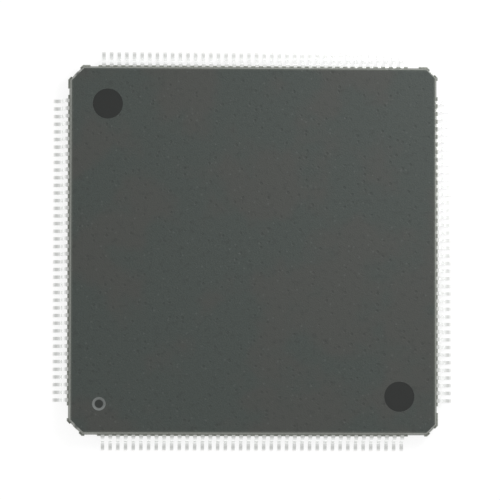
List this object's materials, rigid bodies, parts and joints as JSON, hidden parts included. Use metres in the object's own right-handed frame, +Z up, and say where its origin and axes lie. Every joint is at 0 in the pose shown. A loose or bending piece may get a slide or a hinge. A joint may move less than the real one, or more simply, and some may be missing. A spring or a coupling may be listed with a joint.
{
  "type": "quad flat pack chip",
  "caption": "Square moulded surface-mount chip package with fine gull-wing leads along all four sides, cut corners, a corner dimple and a wired die inside.",
  "frame": {"origin": "centre of the seating plane, on the level of the undersides of the feet", "axes": "+Z up out of the moulded top face; +X to the right and +Y to the back when the dimple beside lead 1 is at the front left"},
  "size_m": [0.026, 0.026, 0.0015],
  "materials": {
    "mould_compound": "fine matte moulded epoxy",
    "tin_plated_lead": "satin tin plating",
    "frame_copper": "bare rolled copper",
    "die_adhesive": "silver-filled epoxy",
    "silicon": "polished silicon",
    "polyimide_tape": "amber film",
    "gold_wire": "bright drawn gold"
  },
  "bodies": {
    "root": {"mould_body": "mould_compound", "die_pad": "frame_copper", "die_attach": "die_adhesive", "silicon_die": "silicon", "lead_lock_tape": "polyimide_tape", "leads_front_1": "tin_plated_lead", "leads_front_2": "tin_plated_lead", "leads_front_3": "tin_plated_lead", "leads_front_4": "tin_plated_lead", "leads_right_1": "tin_plated_lead", "leads_right_2": "tin_plated_lead", "leads_right_3": "tin_plated_lead", "leads_right_4": "tin_plated_lead", "leads_back_1": "tin_plated_lead", "leads_back_2": "tin_plated_lead", "leads_back_3": "tin_plated_lead", "leads_back_4": "tin_plated_lead", "leads_left_1": "tin_plated_lead", "leads_left_2": "tin_plated_lead", "leads_left_3": "tin_plated_lead", "leads_left_4": "tin_plated_lead", "wires_front_1": "gold_wire", "wires_front_2": "gold_wire", "wires_front_3": "gold_wire", "wires_front_4": "gold_wire", "wires_right_1": "gold_wire", "wires_right_2": "gold_wire", "wires_right_3": "gold_wire", "wires_right_4": "gold_wire", "wires_back_1": "gold_wire", "wires_back_2": "gold_wire", "wires_back_3": "gold_wire", "wires_back_4": "gold_wire", "wires_left_1": "gold_wire", "wires_left_2": "gold_wire", "wires_left_3": "gold_wire", "wires_left_4": "gold_wire"}
  },
  "joints": []
}
